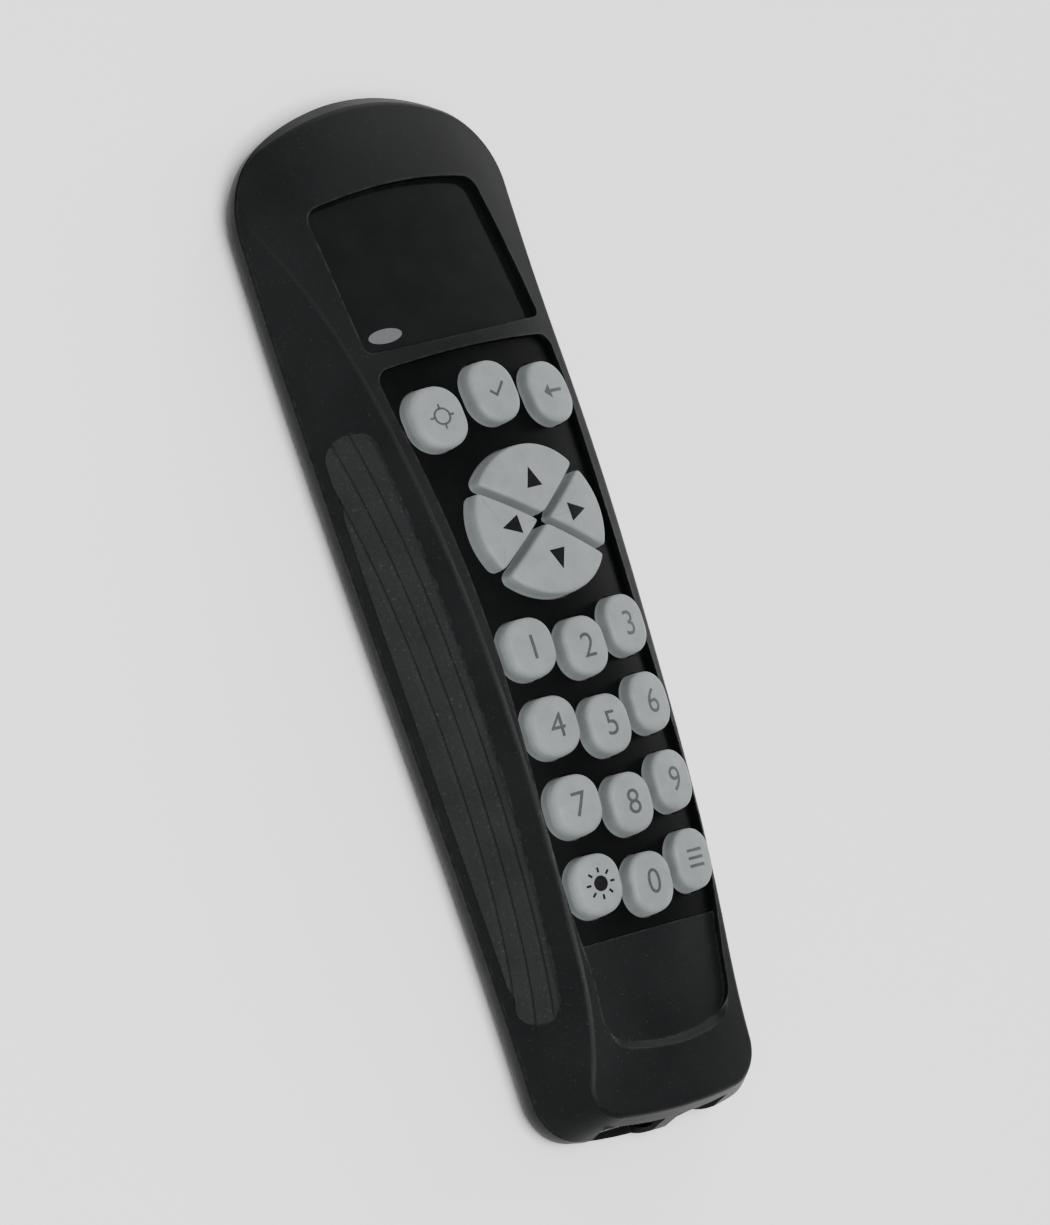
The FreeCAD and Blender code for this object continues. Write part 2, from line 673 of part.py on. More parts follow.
GLASS = (36.0, 17.4)            # display glass
BEZEL = (40.4, 23.0)            # its folded metal frame
VIEW = (32.6, 14.2, 0.9)        # what the frame and the mask leave to be seen, and its shift
BEZEL_TOP = -7.1                # levels of the flat display under the face
GLASS_TOP = -7.6
LIGHT_TOP = -8.9
DISPLAY_BASE = -11.7            # underside of the display's board
DISPLAY_BOARD_TOP = -10.1


def display_window():
    """Smoked window: a raised middle that fills the opening, and a flange under the shell."""
    raised = window_layer(-0.12, -WINDOW_DEPTH - WINDOW_THICK + 0.3, -WINDOW_DEPTH)
    flange = window_layer(1.7, -WINDOW_DEPTH - WINDOW_THICK, -WINDOW_SEAT - PLAY)
    return raised.fuse(flange).removeSplitter()


def window_mask():
    """Black foam between the curved window and the flat display, with an opening to look through."""
    frame = window_layer(1.0, -16, -WINDOW_DEPTH - WINDOW_THICK - PLAY)
    width, height, shift = VIEW
    frame = frame.common(leaning_space(BEZEL_TOP + PLAY, 20))
    frame = frame.common(lean(box(-20.2, 20.2, -12.5, 13.0, -20, 20)))
    return frame.cut(lean(prism(rounded_box_wire(0, shift, -20, width, height, 0.8), 40)))


def display_bezel():
    width, height = BEZEL
    view_width, view_height, shift = VIEW
    frame = box(-width / 2, width / 2, -height / 2, height / 2, DISPLAY_BOARD_TOP + PLAY, BEZEL_TOP)
    frame = frame.cut(box(-width / 2 + 0.5, width / 2 - 0.5, -height / 2 + 0.5, height / 2 - 0.5,
                          DISPLAY_BOARD_TOP - 1, BEZEL_TOP - 0.4))
    opening = box(-view_width / 2 + 0.4, view_width / 2 - 0.4, shift - view_height / 2 + 0.4,
                  shift + view_height / 2 - 0.4, BEZEL_TOP - 2, BEZEL_TOP + 1)
    return lean(frame.cut(opening))


def display_glass():
    width, height = GLASS
    shift = VIEW[2]
    return lean(box(-width / 2, width / 2, shift - height / 2, shift + height / 2,
                    LIGHT_TOP + 0.1, GLASS_TOP))


def display_light():
    """Light box behind the glass."""
    shift = VIEW[2]
    return lean(box(-18.0, 18.0, shift - 6.2, shift + 6.2, DISPLAY_BOARD_TOP + PLAY, LIGHT_TOP))


def contact_strips():
    """Soft strips that join the glass to its board."""
    shift = VIEW[2]
    strips = [box(-17.0, 17.0, shift + side * 7.6 - 0.8, shift + side * 7.6 + 0.8,
                  DISPLAY_BOARD_TOP + PLAY, LIGHT_TOP + PLAY)
              for side in (-1, 1)]
    return lean(Part.makeCompound(strips))


def display_board():
    return lean(box(-20.3, 20.3, -12.6, 12.6, DISPLAY_BASE, DISPLAY_BOARD_TOP))


def display_ribbon():
    """Flat ribbon from under the display's board to under the main board."""
    end_z = BOARD_TOP - BOARD_THICK - PLAY
    side = [(56.0, 10.0), (51.6, 9.2), (47.6, 9.6), (42.4, end_z - 0.6), (38.0, end_z)]
    profile = [V(-9, y, z) for y, z in side]
    thick = V(0, 0, -0.35)
    points = profile + [point + thick for point in reversed(profile)]
    ribbon = Part.Face(Part.makePolygon(points + points[:1])).extrude(V(18, 0, 0))
    return ribbon.cut(lean(box(-40, 40, -12.7, 40, DISPLAY_BASE - PLAY, 30)))


# ---- fasteners ----------------------------------------------------------------------------

def screw(x, y, head_z, seat_z, tip_z, head_radius, shank_radius):
    """Cross-head screw driven from the back."""
    body = rod(x, y, head_z, seat_z - 0.02, head_radius).fuse(rod(x, y, seat_z - 0.1, tip_z, shank_radius))
    arm = head_radius * 0.62
    for length, width in ((arm, 0.35), (0.35, arm)):
        body = body.cut(box(x - length, x + length, y - width, y + width, head_z - 1, head_z + 1.1))
    return body


def case_screws():
    return Part.makeCompound([screw(x, y, CASE_HEAD_Z, CASE_SEAT_Z, CASE_TIP_Z, 2.8, 1.42)
                              for x, y in CASE_SCREWS])


def board_screws():
    base = BOARD_TOP - BOARD_THICK
    return Part.makeCompound([screw(x, y, base - 1.7, base, BOARD_TOP + 5.0, 2.0, 0.98)
                              for x, y in BOARD_SCREWS])


def rear_label():
    width, height, depth = LABEL
    return prism(rounded_box_wire(0, LABEL_Y, 0.12, width - 0.4, height - 0.4, 2.8), depth - 0.17)


# ---- write every node ----------------------------------------------------------------------

save("rear_shell", rear_shell())
save("front_shell", front_shell())
grip = side_grip()
save("right_grip", grip)
save("left_grip", mirror_x(grip))
save("key_plate", key_plate())
save("key_mat", key_mat())
for key_name, key_kind, key_x, key_y in key_places():
    save(key_name, key(key_kind, key_x, key_y))
save("display_window", display_window())
save("window_mask", window_mask())
save("display_bezel", display_bezel())
save("display_glass", display_glass())
save("display_light", display_light())
save("contact_strips", contact_strips())
save("display_board", display_board())
save("display_ribbon", display_ribbon())
save("main_board", main_board())
save("key_lights", key_lights())
save("control_chip", chip(3.0, 6.0, 12.0, 14.0, 2.0, 16))
save("memory_chip", chip(6.0, -16.0, 8.0, 12.0, 2.4, 12))
save("line_chip", chip(-5.0, -52.0, 6.0, 10.0, 2.0, 8))
save("crystal", crystal())
save("capacitors", capacitors())
save("cord_socket", socket_body(*CORD_SOCKET))
save("cord_socket_contacts", socket_contacts(CORD_SOCKET[0], CORD_SOCKET[3]))
save("data_socket", socket_body(*DATA_SOCKET))
save("data_socket_contacts", socket_contacts(DATA_SOCKET[0], DATA_SOCKET[3]))
save("case_screws", case_screws())
save("board_screws", board_screws())
save("rear_label", rear_label())
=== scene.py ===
"""Looks of a telescope hand controller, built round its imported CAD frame. Blender 4.5, metres."""
import json
import math

import bmesh
import bpy
from mathutils import Matrix, Vector
from mathutils.bvhtree import BVHTree


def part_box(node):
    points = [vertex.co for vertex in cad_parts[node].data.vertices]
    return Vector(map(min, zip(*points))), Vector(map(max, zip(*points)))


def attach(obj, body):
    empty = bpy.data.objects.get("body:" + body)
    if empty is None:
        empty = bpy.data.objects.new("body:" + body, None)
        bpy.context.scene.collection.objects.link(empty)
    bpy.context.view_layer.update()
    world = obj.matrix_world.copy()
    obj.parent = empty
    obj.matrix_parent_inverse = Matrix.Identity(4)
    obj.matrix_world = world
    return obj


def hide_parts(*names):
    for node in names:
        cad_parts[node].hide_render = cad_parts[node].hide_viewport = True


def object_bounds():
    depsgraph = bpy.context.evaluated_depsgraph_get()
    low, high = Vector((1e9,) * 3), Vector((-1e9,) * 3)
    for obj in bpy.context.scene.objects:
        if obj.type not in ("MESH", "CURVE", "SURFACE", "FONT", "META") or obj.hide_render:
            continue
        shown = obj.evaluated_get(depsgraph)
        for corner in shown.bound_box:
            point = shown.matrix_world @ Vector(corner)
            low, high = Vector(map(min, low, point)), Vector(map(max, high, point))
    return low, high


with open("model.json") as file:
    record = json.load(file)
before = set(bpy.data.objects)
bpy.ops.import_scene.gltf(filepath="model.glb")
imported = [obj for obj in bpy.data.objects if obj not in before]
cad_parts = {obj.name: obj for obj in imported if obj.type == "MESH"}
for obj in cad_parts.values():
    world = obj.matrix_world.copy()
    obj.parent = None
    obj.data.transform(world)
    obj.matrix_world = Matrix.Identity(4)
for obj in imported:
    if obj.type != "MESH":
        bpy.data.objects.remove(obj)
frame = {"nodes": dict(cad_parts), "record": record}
cad_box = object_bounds()

MM = 0.001

# how the controller is seen: turned about its long axis, rolled, and a little from its cord end
VIEW_TURN = math.radians(39.0)
VIEW_ROLL = math.radians(17.2)
VIEW_RISE = math.radians(-3.7)
CAMERA_DISTANCE = 1.9
SENSOR_HEIGHT = 36.0           # of the camera, in millimetres as Blender has it
FRAME_HEIGHT = 0.212           # height of the frame at the object
AIM_RIGHT = 0.0007             # how far the aim is from the middle of the object's box
AIM_UP = -0.0014

# keys
FLANGE = 0.45 * MM             # how far a CAD key's flange stands out from its cap
CAP_ROUND = 1.0 * MM           # radius of the rounded edge round a cap's top
PAD_ROUND = 0.6 * MM           # the same on a fan of the pad, less than its corner radius
EDGE_STEPS = 6                 # steps of that rounded edge
CAP_INSET = 0.12 * MM          # how far a cap's wall leans in up to its rounded edge
WALL_STEP = 1.2 * MM           # height of that leaning stretch
TOP_SHARES = (0.92, 0.80, 0.65, 0.48, 0.30, 0.14)    # rings across a top, as shares of its outline
CROWN = 0.34 * MM              # how much a key's top bulges
PROBE_REACH = 2.2 * MM         # how far from a key's middle the slope of the CAD key's top is measured
FLANGE_TOP = 5.55 * MM         # below the key's top
FLANGE_BASE = 6.35 * MM
FOOT_RADIUS = 2.9 * MM
NUMBER_CORNER = 4.2 * MM       # corner radius of the number keys' outline
TOP_CORNER = 4.6 * MM          # of the three top keys'
PAD_CORNER = 0.9 * MM          # of the fans'
PAD_SPLIT = 0.6 * MM           # half of the gap between two fans of the pad
PAD_CROSS = math.radians(35.0)     # half of the angle that the left and the right fan fill
RIM_STEPS = 28                 # steps of a fan's outer arc
FAN_POINTS = 220               # points of a fan's outline while its corners are rounded
OUTLINE_POINTS = 112           # points of each key's outline

# what is printed
PRINT_LIFT = 0.03 * MM         # thickness of the ink on a key
INK_RISE = 0.3 * PRINT_LIFT    # how far the middle of the ink lies over the key's top
PRINT_ROOM = 0.04 * MM         # how far a key's top lies under the CAD key's, to leave room for the ink
MARK_CUT = 0.7 * MM            # a mark is cut into squares of this size, so that it follows the key's top
MARK_CUTS = 8
DIGIT_HEIGHT = 4.5 * MM
DIGIT_SHARE = 0.72             # height of a digit in a font of size 1
ARROW = [(2.2, 0.0), (-1.5, 1.7), (-1.5, -1.7)]      # in mm, pointing along X
ARROW_REACH = 7.2 * MM         # from the pad's middle

# the oval at the window's lower left corner: its middle from the window's corner, and its sizes
DOT_IN = 7.2 * MM
DOT_UP = 4.7 * MM
DOT_HALF_WIDTH = 3.2 * MM
DOT_HALF_HEIGHT = 1.3 * MM
DOT_THICK = 0.06 * MM
DOT_RISE = 0.01 * MM
DOT_CUT = 0.45 * MM
DOT_CUTS = 7

# studio: for each panel its place, width, height and watts
PANELS = {
    "head_panel": ((0.95, 1.15, 0.55), 0.6, 0.5, 9),
    "top_panel": ((-0.6, -0.25, 1.6), 0.8, 1.0, 56),
    "right_panel": ((1.5, 0.1, 0.22), 0.3, 1.0, 11),
}
SKY_STRENGTH = 0.58
FLOOR_REACH = 6.0


# ---- node materials -------------------------------------------------------------------------
# Colours are linear. A noise scale of 1000 has one wave for each millimetre.

class Recipe:
    """A new node material with short calls for the nodes that the recipes below share."""

    def __init__(self, name):
        self.material = bpy.data.materials.new(name)
        self.material.use_nodes = True
        self.nodes = self.material.node_tree.nodes
        self.links = self.material.node_tree.links
        self.shader = self.nodes["Principled BSDF"]
        self.place = self.nodes.new("ShaderNodeTexCoord").outputs["Object"]

    def fixed(self, **values):
        """Set values on the shader's own sockets."""
        for key, value in values.items():
            self.shader.inputs[key.replace("_", " ")].default_value = value
        return self

    def noise(self, scale, detail=4.0, roughness=0.55, stretch=None):
        node = self.nodes.new("ShaderNodeTexNoise")
        node.inputs["Scale"].default_value = scale
        node.inputs["Detail"].default_value = detail
        node.inputs["Roughness"].default_value = roughness
        self.links.new(self.stretched(stretch) if stretch else self.place, node.inputs["Vector"])
        return node.outputs["Fac"]

    def cells(self, scale):
        node = self.nodes.new("ShaderNodeTexVoronoi")
        node.inputs["Scale"].default_value = scale
        self.links.new(self.place, node.inputs["Vector"])
        return node.outputs["Distance"]

    def stretched(self, stretch):
        node = self.nodes.new("ShaderNodeMapping")
        node.inputs["Scale"].default_value = stretch
        self.links.new(self.place, node.inputs["Vector"])
        return node.outputs["Vector"]

    def axes(self):
        """The place's X, Y and Z, by name."""
        node = self.nodes.new("ShaderNodeSeparateXYZ")
        self.links.new(self.place, node.inputs["Vector"])
        return node.outputs

    def spread(self, value, low, high, out_low=0.0, out_high=1.0):
        """Map a value from one range to another, held at its ends."""
        node = self.nodes.new("ShaderNodeMapRange")
        ends = {"From Min": low, "From Max": high, "To Min": out_low, "To Max": out_high}
        for socket, number in ends.items():
            node.inputs[socket].default_value = number
        self.links.new(value, node.inputs["Value"])
        return node.outputs["Result"]

    def maths(self, operation, first, second):
        node = self.nodes.new("ShaderNodeMath")
        node.operation = operation
        for socket, value in zip(node.inputs, (first, second)):
            if isinstance(value, (int, float)):
                socket.default_value = value
            else:
                self.links.new(value, socket)
        return node.outputs["Value"]

    def mix(self, factor, first, second):
        """Mix two colours, each a tuple or another node's output."""
        node = self.nodes.new("ShaderNodeMix")
        node.data_type = "RGBA"
        self.links.new(factor, node.inputs["Factor"])
        for socket, value in zip((node.inputs[6], node.inputs[7]), (first, second)):
            if isinstance(value, tuple):
                socket.default_value = (*value, 1.0)
            else:
                self.links.new(value, socket)
        return node.outputs[2]

    def edges(self, radius, low, high):
        """1 along edges, from how far a rounded normal turns from the true one."""
        bevel = self.nodes.new("ShaderNodeBevel")
        bevel.samples = 4
        bevel.inputs["Radius"].default_value = radius
        geometry = self.nodes.new("ShaderNodeNewGeometry")
        dot = self.nodes.new("ShaderNodeVectorMath")
        dot.operation = "DOT_PRODUCT"
        self.links.new(bevel.outputs["Normal"], dot.inputs[0])
        self.links.new(geometry.outputs["Normal"], dot.inputs[1])
        return self.spread(dot.outputs["Value"], 1.0 - low, 1.0 - high)

    def bump(self, height, strength, distance, under=None):
        node = self.nodes.new("ShaderNodeBump")
        node.inputs["Strength"].default_value = strength
        node.inputs["Distance"].default_value = distance
        self.links.new(height, node.inputs["Height"])
        if under:
            self.links.new(under, node.inputs["Normal"])
        return node.outputs["Normal"]

    def finish(self, colour, roughness, normal=None):
        self.links.new(colour, self.shader.inputs["Base Color"])
        self.links.new(roughness, self.shader.inputs["Roughness"])
        if normal:
            self.links.new(normal, self.shader.inputs["Normal"])
        return self.material


def case_plastic():
    """Charcoal moulded plastic with spark-eroded grain, rubbed a little along its edges."""
    r = Recipe("case_plastic").fixed(IOR=1.45, Specular_IOR_Level=0.12)
    grain = r.noise(5200, 3.0)
    cloud = r.noise(55, 5.0)
    colour = r.mix(r.spread(cloud, 0.35, 0.65), (0.0026, 0.0030, 0.0032), (0.0040, 0.0044, 0.0047))
    colour = r.mix(r.spread(grain, 0.5, 0.75, 0.0, 0.5), colour, (0.0070, 0.0076, 0.0079))
    worn = r.maths("MULTIPLY", r.edges(0.0007, 0.02, 0.16), r.spread(r.noise(420, 6.0, 0.7), 0.42, 0.66))
    colour = r.mix(r.maths("MULTIPLY", worn, 0.5), colour, (0.045, 0.046, 0.047))
    dust = r.spread(r.noise(2600, 2.0, 0.4), 0.68, 0.78, 0.0, 0.35)
    colour = r.mix(dust, colour, (0.050, 0.050, 0.048))
    roughness = r.maths("ADD", r.spread(cloud, 0.3, 0.7, 0.44, 0.56), r.spread(grain, 0.3, 0.7, -0.04, 0.05))
    roughness = r.maths("SUBTRACT", roughness, r.maths("MULTIPLY", worn, 0.14))
    normal = r.bump(grain, 0.30, 0.00006)
    normal = r.bump(r.noise(1500, 2.0), 0.10, 0.0001, normal)
    return r.finish(colour, roughness, normal)


def grip_rubber():
    """Matt black rubber with a fine pebbled skin."""
    r = Recipe("grip_rubber").fixed(IOR=1.45, Specular_IOR_Level=0.16,
                                    Sheen_Weight=0.04, Sheen_Roughness=0.55)
    pebbles = r.cells(2600)
    cloud = r.noise(90, 5.0)
    colour = r.mix(r.spread(cloud, 0.35, 0.65), (0.0060, 0.0068, 0.0070), (0.0090, 0.0099, 0.0102))
    dust = r.spread(r.noise(1800, 3.0, 0.5), 0.60, 0.74, 0.0, 0.4)
    colour = r.mix(dust, colour, (0.038, 0.038, 0.036))
    roughness = r.spread(pebbles, 0.1, 0.7, 0.60, 0.74)
    return r.finish(colour, roughness, r.bump(pebbles, 0.28, 0.00007))


def plate_plastic():
    """Black satin plate under the keys."""
    r = Recipe("plate_plastic").fixed(IOR=1.45, Specular_IOR_Level=0.06)
    grain = r.noise(7000, 3.0)
    cloud = r.noise(70, 4.0)
    colour = r.mix(r.spread(cloud, 0.35, 0.65), (0.0009, 0.0011, 0.0012), (0.0014, 0.0017, 0.0018))
    dust = r.spread(r.noise(2300, 3.0, 0.5), 0.63, 0.76, 0.0, 0.30)
    colour = r.mix(dust, colour, (0.014, 0.014, 0.0135))
    return r.finish(colour, r.spread(cloud, 0.3, 0.7, 0.36, 0.50), r.bump(grain, 0.16, 0.00004))


def key_silicone():
    """Light grey silicone: soft sheen, slightly cloudy, greyer where fingers rub."""
    r = Recipe("key_silicone").fixed(IOR=1.42, Subsurface_Weight=0.08, Subsurface_Scale=0.0006,
                                     Sheen_Weight=0.08, Sheen_Roughness=0.5)
    r.shader.inputs["Subsurface Radius"].default_value = (1.0, 0.9, 0.8)
    cloud = r.noise(240, 5.0)
    rub = r.noise(620, 6.0, 0.65)
    fine = r.noise(4200, 3.0)
    colour = r.mix(r.spread(cloud, 0.35, 0.65), (0.126, 0.140, 0.142), (0.150, 0.166, 0.169))
    colour = r.mix(r.spread(rub, 0.52, 0.72, 0.0, 0.30), colour, (0.098, 0.106, 0.104))
    colour = r.mix(r.spread(fine, 0.62, 0.75, 0.0, 0.35), colour, (0.079, 0.084, 0.082))
    roughness = r.spread(rub, 0.3, 0.7, 0.50, 0.66)
    normal = r.bump(fine, 0.10, 0.00005)
    return r.finish(colour, roughness, r.bump(cloud, 0.15, 0.0002, normal))


def key_ink():
    """Dark ink of the numbers, rubbed thin in places."""
    r = Recipe("key_ink").fixed(IOR=1.45, Specular_IOR_Level=0.3)
    worn = r.noise(1500, 5.0, 0.7)
    colour = r.mix(r.spread(worn, 0.52, 0.72, 0.0, 0.6), (0.032, 0.035, 0.037), (0.068, 0.073, 0.075))
    return r.finish(colour, r.spread(worn, 0.3, 0.7, 0.42, 0.60), r.bump(r.noise(6000, 2.0), 0.1, 0.00002))


def arrow_ink():
    """Black ink of the arrows."""
    r = Recipe("arrow_ink").fixed(IOR=1.45, Specular_IOR_Level=0.12)
    worn = r.noise(1700, 5.0, 0.7)
    colour = r.mix(r.spread(worn, 0.55, 0.75, 0.0, 0.4), (0.0020, 0.0020, 0.0022), (0.0090, 0.0090, 0.0095))
    return r.finish(colour, r.spread(worn, 0.3, 0.7, 0.38, 0.55), r.bump(r.noise(6000, 2.0), 0.1, 0.00002))


def pale_ink():
    """Light grey ink of the dot on the window."""
    r = Recipe("pale_ink").fixed(IOR=1.5)
    worn = r.noise(2500, 4.0, 0.6)
    colour = r.mix(r.spread(worn, 0.5, 0.7, 0.0, 0.6), (0.060, 0.064, 0.067), (0.034, 0.036, 0.038))
    return r.finish(colour, r.spread(worn, 0.3, 0.7, 0.40, 0.55), r.bump(worn, 0.1, 0.00002))


def window_smoke():
    """Polished smoked plastic with faint finger marks."""
    r = Recipe("window_smoke").fixed(IOR=1.45, Specular_IOR_Level=0.25, Alpha=0.80)
    marks = r.noise(150, 6.0, 0.65)
    streaks = r.noise(220, 5.0, 0.6, (1.0, 6.0, 1.0))
    colour = r.mix(r.spread(marks, 0.4, 0.7), (0.0030, 0.0043, 0.0040), (0.0048, 0.0063, 0.0058))
    roughness = r.maths("ADD", r.spread(marks, 0.42, 0.68, 0.05, 0.16),
                        r.spread(streaks, 0.55, 0.8, 0.0, 0.07))
    return r.finish(colour, roughness, r.bump(r.noise(35, 1.0), 0.05, 0.0004))


def display_glass():
    """Unlit display: olive-grey glass with two rows of faint character cells."""
    r = Recipe("display_glass").fixed(IOR=1.5)
    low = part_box("display_glass")[0]
    first_column = low.x + 4.0 * MM
    first_row = low.y + 3.8 * MM
    character_pitch = 1.76 * MM
    dots_each = 5
    axes = r.axes()
    columns = cell_mask(r, axes["X"], first_column, character_pitch, 0.78)
    rows = cell_mask(r, axes["Y"], first_row, 5.7 * MM, 0.84)
    fine = cell_mask(r, axes["X"], first_column, character_pitch / dots_each, 0.86)
    dots = r.maths("MULTIPLY", r.maths("MULTIPLY", columns, rows), fine)
    cloud = r.noise(90, 3.0)
    colour = r.mix(r.spread(cloud, 0.35, 0.65), (0.105, 0.128, 0.108), (0.125, 0.150, 0.128))
    colour = r.mix(r.maths("MULTIPLY", dots, 0.5), colour, (0.055, 0.068, 0.058))
    return r.finish(colour, r.spread(cloud, 0.3, 0.7, 0.10, 0.20), r.bump(cloud, 0.03, 0.0001))


def cell_mask(r, coordinate, start, pitch, share):
    """1 inside each of a row of equal cells, 0 in the gaps between them."""
    steps = r.maths("DIVIDE", r.maths("SUBTRACT", coordinate, start), pitch)
    return r.maths("LESS_THAN", r.maths("FRACT", steps, 0.0), share)


def plain(name, dark, light, scale, rough, bump, **fixed):
    """A simple finish: two tones by noise, uneven roughness and a fine bump."""
    r = Recipe(name).fixed(**fixed)
    cloud = r.noise(scale, 5.0)
    fine = r.noise(scale * 14, 3.0)
    colour = r.mix(r.spread(cloud, 0.35, 0.65), dark, light)
    return r.finish(colour, r.spread(fine, 0.3, 0.7, *rough), r.bump(fine, bump, 0.00005))


def screw_steel():
    """Black zinc on steel, finely scratched, and bright where its edges are worn."""
    r = Recipe("screw_steel").fixed(Metallic=0.9, IOR=2.0)
    cloud = r.noise(900, 5.0)
    scratches = r.noise(1500, 4.0, 0.7, (1.0, 7.0, 1.0))
    colour = r.mix(r.spread(cloud, 0.35, 0.65), (0.045, 0.045, 0.048), (0.10, 0.10, 0.105))
    worn = r.maths("MULTIPLY", r.edges(0.0002, 0.02, 0.2), r.spread(cloud, 0.4, 0.6))
    colour = r.mix(worn, colour, (0.42, 0.42, 0.43))
    return r.finish(colour, r.spread(scratches, 0.3, 0.7, 0.26, 0.46), r.bump(scratches, 0.12, 0.00004))


def rear_label():
    """Plain charcoal film with a paler line inside its edge."""
    r = Recipe("rear_label").fixed(IOR=1.5)
    low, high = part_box("rear_label")
    middle = (low + high) / 2
    half = (high - low) / 2
    axes = r.axes()
    reaches = []
    for axis in "XY":
        index = "XY".index(axis)
        away = r.maths("ABSOLUTE", r.maths("SUBTRACT", axes[axis], middle[index]), 0.0)
        reaches.append(r.maths("SUBTRACT", half[index], away))
    edge = r.maths("MINIMUM", *reaches)
    line = r.maths("MULTIPLY", r.maths("GREATER_THAN", edge, 1.8 * MM), r.maths("LESS_THAN", edge, 2.2 * MM))
    cloud = r.noise(80, 4.0)
    colour = r.mix(r.spread(cloud, 0.35, 0.65), (0.050, 0.051, 0.053), (0.062, 0.063, 0.065))
    colour = r.mix(line, colour, (0.22, 0.22, 0.225))
    return r.finish(colour, r.spread(cloud, 0.3, 0.7, 0.34, 0.46), r.bump(r.noise(900, 2.0), 0.08, 0.00005))


def all_materials():
    """One material for each slot of the record."""
    return {
        "case_plastic": case_plastic(),
        "grip_rubber": grip_rubber(),
        "plate_plastic": plate_plastic(),
        "key_silicone": key_silicone(),
        "window_smoke": window_smoke(),
        "display_glass": display_glass(),
        "screw_steel": screw_steel(),
        "label_film": rear_label(),
        "foam": plain("foam", (0.008, 0.008, 0.008), (0.016, 0.016, 0.016), 400, (0.8, 0.95), 0.5),
        "bezel_metal": plain("bezel_metal", (0.010, 0.010, 0.010), (0.018, 0.018, 0.018), 300,
                             (0.3, 0.45), 0.1, Metallic=0.5),
        "light_box": plain("light_box", (0.62, 0.63, 0.58), (0.70, 0.71, 0.66), 120, (0.3, 0.45), 0.05),
        "board": plain("board", (0.006, 0.055, 0.018), (0.010, 0.085, 0.030), 260, (0.22, 0.38), 0.12),
        "chip": plain("chip", (0.010, 0.010, 0.011), (0.020, 0.020, 0.021), 500, (0.45, 0.62), 0.2),
        "metal_can": plain("metal_can", (0.50, 0.50, 0.51), (0.66, 0.66, 0.67), 300,
                           (0.22, 0.38), 0.1, Metallic=1.0),
        "led": plain("led", (0.38, 0.02, 0.015), (0.55, 0.04, 0.03), 800, (0.12, 0.25), 0.05),
        "socket_plastic": plain("socket_plastic", (0.008, 0.008, 0.009), (0.015, 0.015, 0.016), 300,
                                (0.24, 0.40), 0.12),
        "contact_gold": plain("contact_gold", (0.62, 0.42, 0.13), (0.80, 0.58, 0.24), 700,
                              (0.16, 0.32), 0.08, Metallic=1.0),
        "ribbon": plain("ribbon", (0.32, 0.17, 0.035), (0.42, 0.24, 0.06), 200, (0.25, 0.4), 0.08),
    }


MATERIALS = all_materials()
KEY_INK = key_ink()
ARROW_INK = arrow_ink()
PALE_INK = pale_ink()


def dress_frame():
    """Give every CAD node the material of its slot."""
    for entry in frame["record"]["subparts"]:
        mesh = frame["nodes"][entry["node"]].data
        mesh.materials.clear()
        mesh.materials.append(MATERIALS[entry["material_slot"]])


# ---- mesh helpers ---------------------------------------------------------------------------

def new_piece(name, mesh, material, body):
    """A named piece that rides on a body and takes a slot's finish."""
    piece = bpy.data.objects.new(name, mesh)
    bpy.context.scene.collection.objects.link(piece)
    mesh.materials.clear()
    mesh.materials.append(material)
    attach(piece, body)
    return piece


def skin_rings(name, rings):
    """Closed mesh over a stack of rings of equal length, with a centre point at each end."""
    mesh = bpy.data.meshes.new(name)
    count = len(rings[0])
    points = [point for ring in rings for point in ring]
    foot_centre = len(points)
    top_centre = foot_centre + 1
    points.append(sum(rings[0], Vector()) / count)
    points.append(sum(rings[-1], Vector()) / count)
    faces = []
    for index in range(count):
        following = (index + 1) % count
        faces.append((foot_centre, following, index))
        for level in range(len(rings) - 1):
            low = level * count
            faces.append((low + index, low + following, low + count + following, low + count + index))
        top = (len(rings) - 1) * count
        faces.append((top_centre, top + index, top + following))
    mesh.from_pydata([tuple(point) for point in points], [], faces)
    mesh.shade_smooth()
    mesh.validate()
    return mesh


# ---- keys -----------------------------------------------------------------------------------

def rounded_outline(corners, radius, steps=12):
    """Convex outline through corner points, anticlockwise, with each corner rounded by an arc."""
    outline = []
    count = len(corners)
    for index, corner in enumerate(corners):
        before = (corners[index - 1] - corner).normalized()
        after = (corners[(index + 1) % count] - corner).normalized()
        half = before.angle(after) / 2
        middle = corner + (before + after).normalized() * (radius / math.sin(half))
        start = corner + before * (radius / math.tan(half)) - middle
        end = corner + after * (radius / math.tan(half)) - middle
        turn = start.angle_signed(end)
        for step in range(steps + 1):
            angle = -turn * step / steps
            outline.append(middle + Matrix.Rotation(angle, 2) @ start)
    return outline


def evened(outline, count):
    """The same closed outline with points at even distances."""
    lengths = [(outline[(i + 1) % len(outline)] - outline[i]).length for i in range(len(outline))]
    total = sum(lengths)
    result = []
    index = 0
    walked = 0.0
    for step in range(count):
        target = total * step / count
        while walked + lengths[index] < target:
            walked += lengths[index]
            index += 1
        share = (target - walked) / lengths[index] if lengths[index] else 0.0
        result.append(outline[index].lerp(outline[(index + 1) % len(outline)], share))
    return result


def box_corners(low, high):
    """A box's corners from above, anticlockwise."""
    places = ((high.x, low.y), (high.x, high.y), (low.x, high.y), (low.x, low.y))
    return [Vector(place) for place in places]


def grown(outline, distance):
    """Move each point of an outline outwards along its own normal."""
    count = len(outline)
    result = []
    for index, point in enumerate(outline):
        along = (outline[(index + 1) % count] - outline[index - 1]).normalized()
        result.append(point + Vector((along.y, -along.x)) * distance)
    return result


